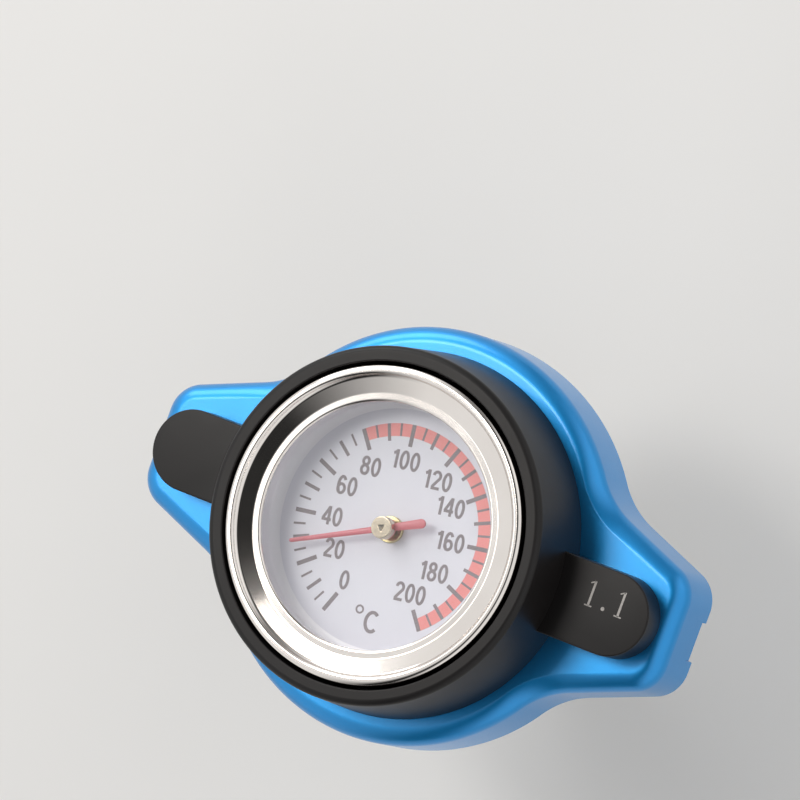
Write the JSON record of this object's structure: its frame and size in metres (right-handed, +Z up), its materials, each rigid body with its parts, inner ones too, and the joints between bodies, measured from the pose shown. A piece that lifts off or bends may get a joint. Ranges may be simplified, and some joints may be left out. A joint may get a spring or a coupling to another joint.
{
  "type": "radiator cap thermometer",
  "caption": "Bayonet radiator pressure cap with two wings, a round dial thermometer in its top, a coolant probe and spring-loaded pressure and vacuum valves underneath.",
  "frame": {"origin": "on the cap's axis, in the plane where the neck gasket seats on the filler neck", "axes": "+Z up through the dial, +X along the two wings"},
  "size_m": [0.0778, 0.0542, 0.0627],
  "materials": {
    "anodised_blue": "satin blue anodised",
    "black_plastic": "moulded, fine matt texture",
    "polished_steel": "polished",
    "glass": "clear, flat",
    "white_plastic": "satin white",
    "dial_enamel": "satin pale grey-white print",
    "pointer_red": "satin red",
    "brass": "turned",
    "plated_steel": "zinc plated pressing",
    "spring_steel": "drawn wire and hard strip",
    "stainless_tube": "drawn tube",
    "bimetal": "rolled strip",
    "ptfe": "turned",
    "rubber": "moulded"
  },
  "bodies": {
    "cap": {"cap_body": "anodised_blue", "gauge_cover": "black_plastic", "gauge_case": "plated_steel", "bezel_ring": "polished_steel", "crystal": "glass", "crystal_gasket": "rubber", "dial_spacer": "white_plastic", "dial_plate": "dial_enamel", "dial_bush": "brass", "bimetal_coil": "bimetal", "coil_anchor": "brass", "shaft_guide": "ptfe", "stem_bush": "brass", "probe_tube": "stainless_tube", "stem_seal": "rubber", "bayonet_plate": "plated_steel", "plate_pins": "plated_steel", "diaphragm": "spring_steel", "neck_gasket": "rubber", "lock_washer": "plated_steel", "stem_nut": "brass", "retaining_clip": "spring_steel"},
    "pointer_set": {"pointer": "pointer_red", "pointer_hub": "brass", "pointer_shaft": "spring_steel", "coil_collar": "brass"},
    "spring_set": {"spring_seat": "plated_steel", "pressure_spring": "spring_steel"},
    "pressure_valve": {"valve_bell": "plated_steel", "valve_plate": "plated_steel", "valve_seal": "rubber", "vacuum_spring": "spring_steel"},
    "vacuum_set": {"vacuum_valve": "brass", "vacuum_keeper": "brass"}
  },
  "joints": [
    {"name": "pointer_turn", "type": "hinge", "parent": "cap", "child": "pointer_set", "pos_m": [0, 0, 0.0125], "axis": [0, 0, 1], "range_deg": [-258, 42], "stiffness_Nm_per_rad": 0.00002},
    {"name": "valve_swivel", "type": "hinge", "parent": "cap", "child": "spring_set", "pos_m": [0, 0, 0], "axis": [0, 0, 1], "continuous": true},
    {"name": "pressure_lift", "type": "slide", "parent": "spring_set", "child": "pressure_valve", "axis": [0, 0, 1], "range_m": [0, 0.0025], "stiffness_N_per_m": 5000, "springref_m": -0.0075, "deforming": ["pressure_spring"]},
    {"name": "vacuum_open", "type": "slide", "parent": "pressure_valve", "child": "vacuum_set", "axis": [0, 0, -1], "range_m": [0, 0.002], "stiffness_N_per_m": 150, "springref_m": -0.004, "deforming": ["vacuum_spring"]}
  ]
}
